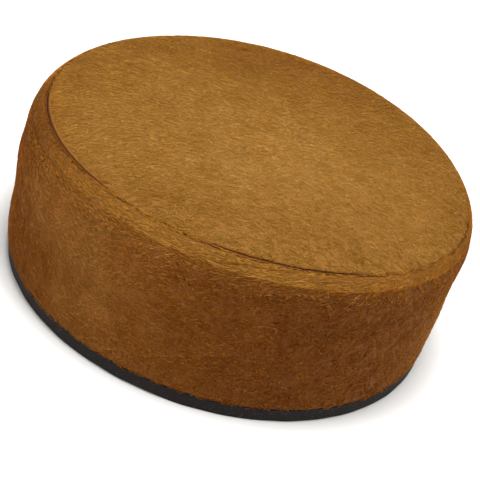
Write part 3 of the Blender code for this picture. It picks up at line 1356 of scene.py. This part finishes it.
@dataclass(frozen=True)
class PlainWeave:
    """Plain-woven cotton: two sets of threads over and under each other, in relief."""

    name: str
    dark: str
    light: str
    thread: float
    relief: float
    lint: str | None = None
    lint_size: float = 0.9 * MM
    lint_cover: float = 0.5
    grain_turn: tuple[float, float, float] = (0.8, 0.35, math.pi / 4)
    relief_strength: float = 0.7
    roughness: float = 0.85
    gloss: float = 0.25

    def material(self) -> Material:
        """Builds the finish.

        Returns:
            The material. Threads too fine for the picture are drawn as coarse as they need to show.
        """
        material, tree, shader = new_material(self.name)
        place = add_node(tree, "TexCoord").outputs["Object"]
        turned = add_node(
            tree, "Mapping", values={"Rotation": self.grain_turn}, links={"Vector": place}
        ).outputs["Vector"]
        threads = {
            "Scale": 1 / (self.thread * math.tau),
            "Distortion": 1.2,
            "Detail": 2.0,
            "Detail Scale": 2.0,
        }
        warp, weft = (
            add_node(
                tree,
                "TexWave",
                {"wave_type": "BANDS", "bands_direction": way, "wave_profile": "SIN"},
                threads,
                {"Vector": turned},
            ).outputs["Fac"]
            for way in ("X", "Z")
        )
        crossing = add_node(tree, "Math", {"operation": "MULTIPLY"}, links={0: warp, 1: weft})
        share = crossing.outputs["Value"]
        stops = ((0.0, self.dark), (0.8, self.light))
        colour = add_node(tree, "ValToRGB", links={"Fac": share}, stops=stops).outputs["Color"]
        if self.lint:
            specks = add_node(
                tree,
                "TexNoise",
                values={"Scale": 1 / self.lint_size, "Detail": 1.0, "Roughness": 0.5},
                links={"Vector": place},
            ).outputs["Fac"]
            few = add_node(
                tree,
                "MapRange",
                values={"From Min": 0.66, "From Max": 0.74, "To Min": 0.0, "To Max": self.lint_cover},
                links={"Value": specks},
            ).outputs["Result"]
            linted = {"Factor": few, "A": colour}
            mix = add_node(tree, "Mix", {"data_type": "RGBA"}, {"B": linear(self.lint)}, linted)
            colour = mix.outputs["Result"]
        bump = add_node(
            tree,
            "Bump",
            values={"Strength": self.relief_strength, "Distance": self.relief},
            links={"Height": share},
        ).outputs["Normal"]
        values = {"Roughness": self.roughness, "Specular IOR Level": self.gloss}
        set_inputs(shader, values, {"Base Color": colour, "Normal": bump})
        return material


def add_finishes(piece: Piece, *finishes: WoolHair | PileGround | PlainWeave) -> None:
    """Gives a piece its finishes, one in each material slot."""
    for finish in finishes:
        piece.data.materials.append(finish.material())


@dataclass(frozen=True)
class CrownTop:
    """The top panel: a domed shell of pile cloth whose edge dips into the seam."""

    form: CapForm
    lathe: Lathe
    rounding: float = 0.75 * MM
    edge_depth: float = 3.6 * MM
    rings: int = 30
    layers: tuple[NapLayer, ...] = (
        NapLayer(
            name="crown_undercoat", locks=16000, lock_hairs=2,
            length=2.8 * MM, width=0.30 * MM, rise=0.30 * MM, stray=0.45, bend=0.45,
            tone=0.44, tone_spread=0.07, lock_spread=0.04, seed=11,
        ),
        NapLayer(
            name="crown_top_hair", locks=6600, lock_hairs=5,
            length=4.0 * MM, width=0.21 * MM, rise=0.45 * MM, stray=0.20, bend=0.24,
            tone=0.51, tone_spread=0.09, lock_spread=0.10, seed=12,
        ),
    )

    def profile(self) -> Line:
        """Draws the panel's line from the middle over the face, down the edge and back.

        Returns:
            Pairs of inset from the widest radius and height.
        """
        form = self.form
        seam_face = form.seam_inset + form.seam_gap
        radius = form.widest - seam_face
        shares = [math.sin(math.pi / 2 * ring / self.rings) for ring in range(self.rings)]
        face = [(form.widest - radius * share, form.crown_height(share)) for share in shares]
        edge = [
            (seam_face + self.rounding, form.seam_height),
            (seam_face + form.lip_inset, form.seam_height - form.lip_drop),
            (seam_face, form.seam_height - form.seam_depth),
            (seam_face, form.seam_height - self.edge_depth),
        ]
        under = [(inset, height - form.cloth_thickness) for inset, height in face[-2::-2]]
        return face[:-1] + edge + under

    def build(self) -> list[Piece]:
        """Builds and dresses the panel and its pile.

        Returns:
            The shell and the two layers of pile.
        """
        ground = CrownGround(self.form, SeamEdge(self.form))
        shell = self.lathe.turn("crown_cloth", self.profile(), is_loop=False, ground=ground)
        backing = PlainWeave("crown_backing", "#4a2f17", "#6a4827", thread=0.6 * MM, relief=0.1 * MM)
        add_finishes(shell, PileGround("crown_pile_foot"), backing)
        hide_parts("crown_top")
        hair = WoolHair("crown_wool_hair").material()
        return [shell, *(layer.comb(ground, hair) for layer in self.layers)]


@dataclass(frozen=True)
class SideBand:
    """The side wall: pile cloth from the binding up over the shoulder to the seam."""

    form: CapForm
    lathe: Lathe
    shoulder_share: float = 0.92
    hem_outer: float = 1.6 * MM
    hem_inner: float = 3.4 * MM
    hem_foot: float = 1.3 * MM
    hem_top: float = 7.0 * MM
    hem_bevel: float = 1.3 * MM
    overhang_foot: float = 6.1 * MM
    overhang_bevel: float = 0.6 * MM
    overhang_edge: float = 0.2 * MM
    wall_rows: int = 26
    shoulder_rows: int = 16
    layers: tuple[NapLayer, ...] = (
        NapLayer(
            name="band_undercoat", locks=15000, lock_hairs=2,
            length=2.8 * MM, width=0.38 * MM, rise=0.35 * MM, stray=0.5, bend=0.5,
            tone=0.43, tone_spread=0.08, lock_spread=0.04, seed=21,
        ),
        NapLayer(
            name="band_pile", locks=10600, lock_hairs=3,
            length=3.3 * MM, width=0.34 * MM, rise=0.45 * MM, stray=0.32, bend=0.4,
            tone=0.48, tone_spread=0.10, lock_spread=0.08, seed=22,
        ),
        NapLayer(
            name="band_top_hair", locks=5600, lock_hairs=5,
            length=4.2 * MM, width=0.28 * MM, rise=0.60 * MM, stray=0.26, bend=0.38,
            tone=0.53, tone_spread=0.12, lock_spread=0.10, seed=23,
        ),
    )

    def profile(self) -> Line:
        """Draws the band's closed line: hem, foot, wall, shoulder, seam edge and inner face.

        Returns:
            Pairs of inset from the widest radius and height.
        """
        form = self.form
        seam_face = form.seam_inset - form.seam_gap
        step = (form.wall_height - form.wall_foot) / self.wall_rows
        heights = [form.wall_foot + step * row for row in range(self.wall_rows)]
        outside = [
            (self.hem_outer, self.hem_foot),
            (self.hem_outer, self.overhang_foot),
            (self.overhang_bevel, self.overhang_foot),
            (self.overhang_edge, self.overhang_foot + self.overhang_bevel),
        ]
        outside += [(0.0, height) for height in heights]
        outside += form.shoulder(0.0, form.seam_turn * self.shoulder_share, 0.0, self.shoulder_rows)
        outside += [
            (seam_face - form.lip_inset, form.seam_height - form.lip_drop),
            (seam_face, form.seam_height - form.seam_depth),
        ]
        thickness = form.cloth_thickness
        inner_turn = math.acos(1 - (seam_face - thickness) / (form.shoulder_reach - thickness))
        inside = form.shoulder(inner_turn, 0.0, thickness, self.shoulder_rows // 2)
        inside += [(thickness, height) for height in reversed(heights[2::2])]
        inside += [
            (thickness, self.hem_top + self.hem_bevel),
            (self.hem_inner, self.hem_top),
            (self.hem_inner, self.hem_foot),
        ]
        return outside + inside

    def build(self) -> list[Piece]:
        """Builds and dresses the band and its pile.

        Returns:
            The shell and its layers of pile.
        """
        ground = BandGround(self.form, SeamEdge(self.form))
        shell = self.lathe.turn("band_cloth", self.profile(), is_loop=True, ground=ground)
        backing = PlainWeave("band_backing", "#452c16", "#634325", thread=0.6 * MM, relief=0.1 * MM)
        add_finishes(shell, PileGround("band_pile_foot"), backing)
        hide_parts("side_band")
        hair = WoolHair("band_wool_hair", fleck_tint=(0.30, 0.165, 0.055)).material()
        return [shell, *(layer.comb(ground, hair) for layer in self.layers)]


@dataclass(frozen=True)
class RimBinding:
    """The black tape folded round the hem: outer leg, flat foot and inner leg."""

    form: CapForm
    lathe: Lathe
    thickness: float = 1.0 * MM
    lean: float = 0.3 * MM
    corner: float = 0.5 * MM
    corner_rows: int = 4
    height: float = 6.0 * MM
    inner_height: float = 7.0 * MM
    channel: float = 2.4 * MM
    leg_rows: int = 6
    drawn_up: float = 2.5 * MM
    lifts: tuple[LiftRow, ...] = (
        LiftRow(-180, 0.0),
        LiftRow(-152, 0.0),
        LiftRow(-140, 0.15 * MM),
        LiftRow(-128, 0.0),
        LiftRow(-116, 0.1 * MM),
        LiftRow(-110, 0.45 * MM),
        LiftRow(-107, 0.3 * MM),
        LiftRow(-96, 0.5 * MM),
        LiftRow(-92, 0.05 * MM),
        LiftRow(-78, 0.0),
        LiftRow(-60, 0.12 * MM),
        LiftRow(-40, 0.0),
        LiftRow(30, 0.2 * MM),
        LiftRow(60, 0.0),
        LiftRow(130, 0.25 * MM),
        LiftRow(160, 0.0),
        LiftRow(180, 0.0),
    )
    puckers: tuple[Ripple, ...] = (
        Ripple(lobes=23, rises=0.2, depth=0.07 * MM, start=0.3),
        Ripple(lobes=41, rises=-0.3, depth=0.06 * MM, start=1.9),
    )

    def bend(self, centre: tuple[float, float], first: float, last: float) -> Line:
        """Rounds one fold of the tape.

        Args:
            centre: The fold's centre, as inset and height.
            first: Angle where the fold starts, in degrees.
            last: Angle where it ends.

        Returns:
            Points round the fold, as pairs of inset and height.
        """
        turns = np.radians(np.linspace(first, last, self.corner_rows))
        return [
            (centre[0] + self.corner * math.cos(turn), centre[1] + self.corner * math.sin(turn))
            for turn in turns
        ]

    def profile(self) -> Line:
        """Draws the tape's closed line.

        Returns:
            Pairs of inset from the widest radius and height.
        """
        corner, leg = self.corner, self.lean + self.thickness
        inner_leg = leg + self.channel
        inner_face = inner_leg + self.thickness
        rise = self.height - 2 * corner
        outer = [
            (self.lean * row / self.leg_rows, corner + rise * row / self.leg_rows)
            for row in range(1, self.leg_rows)
        ]
        return [
            *self.bend((corner, corner), 270, 180),
            *outer,
            *self.bend((self.lean + corner, self.height - corner), 180, 90),
            (leg, self.height),
            (leg, self.thickness),
            (inner_leg, self.thickness),
            (inner_leg, self.inner_height - corner),
            *self.bend((inner_face - corner, self.inner_height - corner), 90, 0),
            (inner_face, (self.inner_height + corner) / 2),
            *self.bend((inner_face - corner, corner), 0, -90),
        ]

    def pucker(self, mesh: bpy.types.Mesh) -> None:
        """Draws the tape's lower edge up in places and ruffles it a little."""
        x, y, height = np.array([vertex.co for vertex in mesh.vertices]).T
        turn = np.arctan2(y, x)
        lift = read_rows(self.lifts, turn)[0] * np.maximum(1 - height / self.drawn_up, 0.0)
        outer = 1 + ripple_sum(self.puckers, turn, height / self.height) / np.hypot(x, y)
        for vertex, place in zip(mesh.vertices, np.stack([x * outer, y * outer, height + lift], axis=-1)):
            vertex.co = place

    def build(self) -> list[Piece]:
        """Builds and dresses the binding.

        Returns:
            The tape.
        """
        tape = self.lathe.turn("binding_tape", self.profile(), is_loop=True)
        self.pucker(tape.data)
        weave = PlainWeave(
            "black_cotton_tape", "#171312", "#272220", thread=0.42 * MM, relief=0.05 * MM, lint="#5c5550"
        )
        add_finishes(tape, weave)
        for polygon in tape.data.polygons:
            polygon.material_index = 0
        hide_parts("rim_binding")
        return [tape]


class Softbox(NamedTuple):
    """One soft studio light: where it stands, its size and its power in watts."""

    name: str
    place: tuple[float, float, float]
    width: float
    power: float


@dataclass(frozen=True)
class Studio:
    """A pale floor and plain soft light round the cap."""

    floor_size: float = 12.0
    floor_colour: str = "#d0cfcd"
    room_colour: str = "#ffffff"
    room_strength: float = 0.25
    aim: tuple[float, float, float] = (0.0, 0.0, 0.04)
    softboxes: tuple[Softbox, ...] = (
        Softbox(name="overhead_softbox", place=(0.0, -0.1, 1.6), width=0.8, power=54.0),
        Softbox(name="left_softbox", place=(-1.4, -0.6, 0.6), width=0.9, power=11.0),
        Softbox(name="right_softbox", place=(1.5, -0.1, 0.6), width=0.9, power=8.0),
    )

    def build(self) -> None:
        """Lays the floor and sets the lights."""
        floor_mesh = bpy.data.meshes.new("floor")
        shape = bmesh.new()
        bmesh.ops.create_grid(shape, x_segments=1, y_segments=1, size=self.floor_size / 2)
        shape.to_mesh(floor_mesh)
        shape.free()
        floor = mesh_object("floor", floor_mesh)
        material, _, shader = new_material("pale_floor")
        matt = {"Base Color": linear(self.floor_colour), "Roughness": 1.0, "Specular IOR Level": 0.0}
        set_inputs(shader, matt)
        floor_mesh.materials.append(material)
        world = bpy.data.worlds.new("studio_room")
        world.use_nodes = True
        sky = world.node_tree.nodes["Background"]
        set_inputs(sky, {"Color": linear(self.room_colour), "Strength": self.room_strength})
        bpy.context.scene.world = world
        bpy.context.scene.view_settings.view_transform = "Standard"
        for softbox in self.softboxes:
            light = bpy.data.lights.new(softbox.name, "AREA")
            light.size = softbox.width
            light.energy = softbox.power
            lamp = bpy.data.objects.new(softbox.name, light)
            lamp.location = softbox.place
            aim = Vector(self.aim) - Vector(softbox.place)
            lamp.rotation_euler = aim.to_track_quat("-Z", "Y").to_euler()
            bpy.context.scene.collection.objects.link(lamp)


@dataclass(frozen=True)
class Camera:
    """The long lens over the cap's front, rolled as in the photograph."""

    elevation: float = math.radians(31.38)
    roll: float = math.radians(18.93)
    distance: float = 728.8 * MM
    pixels_per_mm: float = 2.2948
    centre_height: float = 37.65 * MM
    aside: float = -0.705 * MM
    above: float = -12.17 * MM
    sensor: float = 36.0

    def build(self) -> None:
        """Sets the scene's camera."""
        back = Vector((0.0, -math.cos(self.elevation), math.sin(self.elevation)))
        level = Vector((1.0, 0.0, 0.0))
        up = back.cross(level)
        right = level * math.cos(self.roll) + up * math.sin(self.roll)
        above = back.cross(right)
        target = Vector((0.0, 0.0, self.centre_height)) + right * self.aside + above * self.above
        data = bpy.data.cameras.new("camera")
        data.sensor_width = self.sensor
        data.lens = self.pixels_per_mm / MM * self.distance * self.sensor / PICTURE_WIDTH
        camera = bpy.data.objects.new("camera", data)
        turned = Matrix((right, above, back)).transposed().to_4x4()
        camera.matrix_world = Matrix.Translation(target + back * self.distance) @ turned
        bpy.context.scene.collection.objects.link(camera)
        bpy.context.scene.camera = camera


def main() -> None:
    logging.basicConfig(level=logging.INFO, format="%(name)s: %(message)s")
    form = CapForm()
    lathe = Lathe(form)
    makers = {
        "crown_cloth": CrownTop(form, lathe),
        "band_cloth": SideBand(form, lathe),
        "binding_tape": RimBinding(form, lathe),
    }
    for slot, maker in makers.items():
        for piece in maker.build():
            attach(piece, BODY)
            log.info("%s: %d faces", piece.name, len(piece.data.polygons))
    Camera().build()
    Studio().build()


if __name__ == "__main__":
    main()
